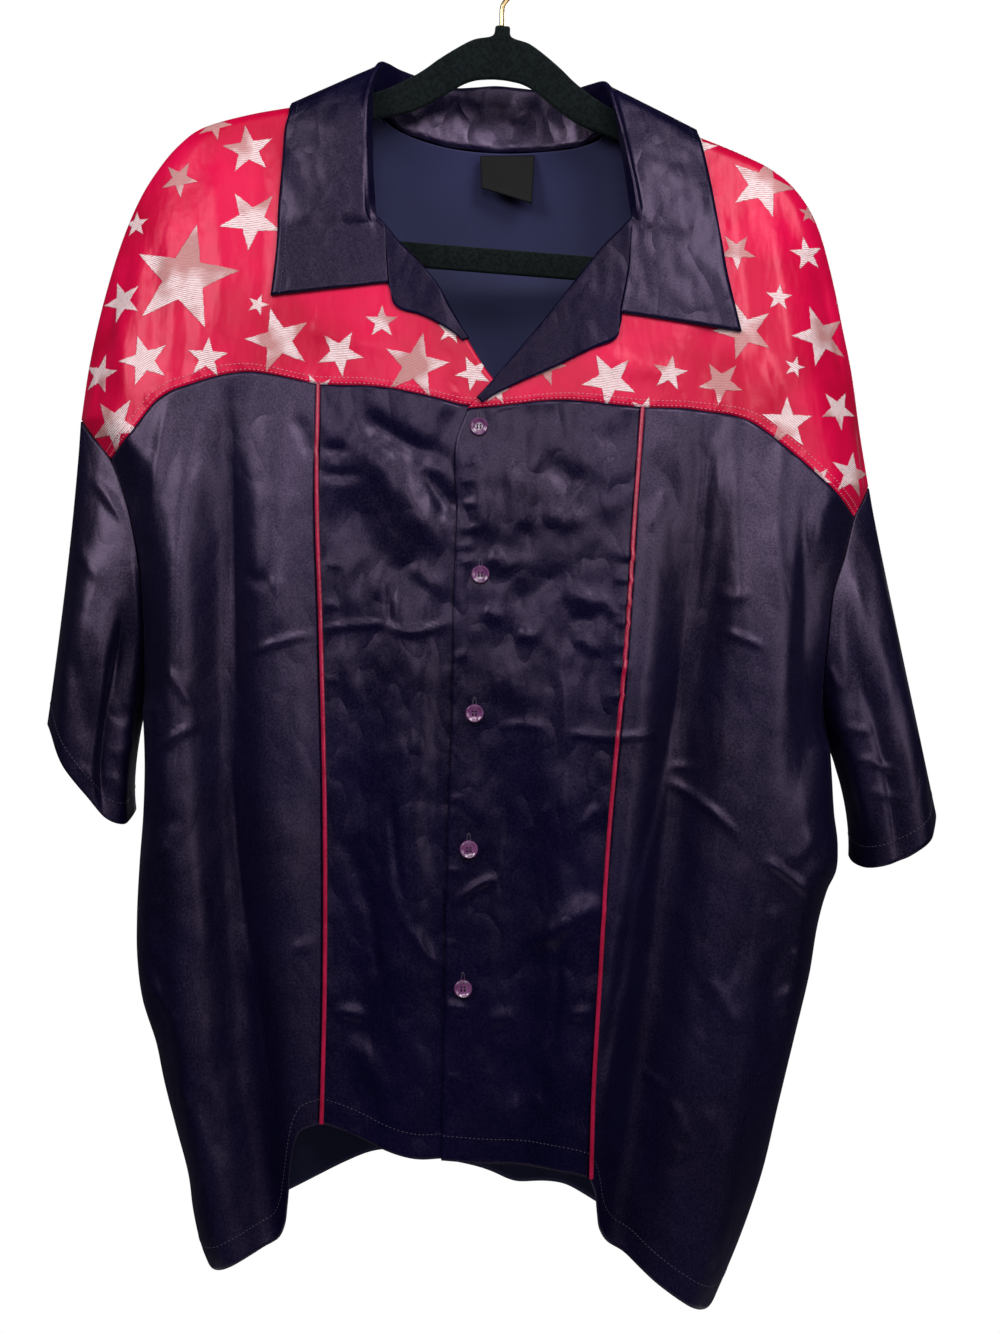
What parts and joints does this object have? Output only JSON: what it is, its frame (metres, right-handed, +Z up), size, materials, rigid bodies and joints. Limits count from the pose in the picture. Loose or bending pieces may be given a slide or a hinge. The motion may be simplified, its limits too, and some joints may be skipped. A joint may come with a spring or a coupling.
{
  "type": "bowling shirt on hanger",
  "caption": "Short-sleeved satin bowling shirt with a camp collar and star yokes, buttoned and hung on a flocked suit hanger by its wire hook.",
  "frame": {"origin": "inside top of the hook, where a rail carries it, in the middle of the hanger's thickness", "axes": "+Z up, the shirt's front faces -Y, +X is towards the wearer's left sleeve"},
  "size_m": [0.639, 0.1422, 0.9705],
  "materials": {
    "satin": "dark navy-plum satin, sheen along the folds",
    "star_brocade": "crimson satin woven with silver stars",
    "piping": "red satin cord",
    "button": "plum, slightly translucent, glossy",
    "label": "black woven tape, bare",
    "flocking": "black flock on a plastic core",
    "brass": "polished wire"
  },
  "bodies": {
    "root": {"back": "satin", "front_right_centre": "satin", "front_right_side": "satin", "front_left_centre": "satin", "front_left_side": "satin", "yoke_right": "star_brocade", "yoke_left": "star_brocade", "sleeve_right": "satin", "sleeve_left": "satin", "collar": "satin", "lapel_right": "satin", "lapel_left": "satin", "piping_right": "piping", "piping_left": "piping", "button_1": "button", "button_2": "button", "button_3": "button", "button_4": "button", "button_5": "button", "neck_label": "label", "hanger_body": "flocking", "hanger_hook": "brass"}
  },
  "joints": []
}
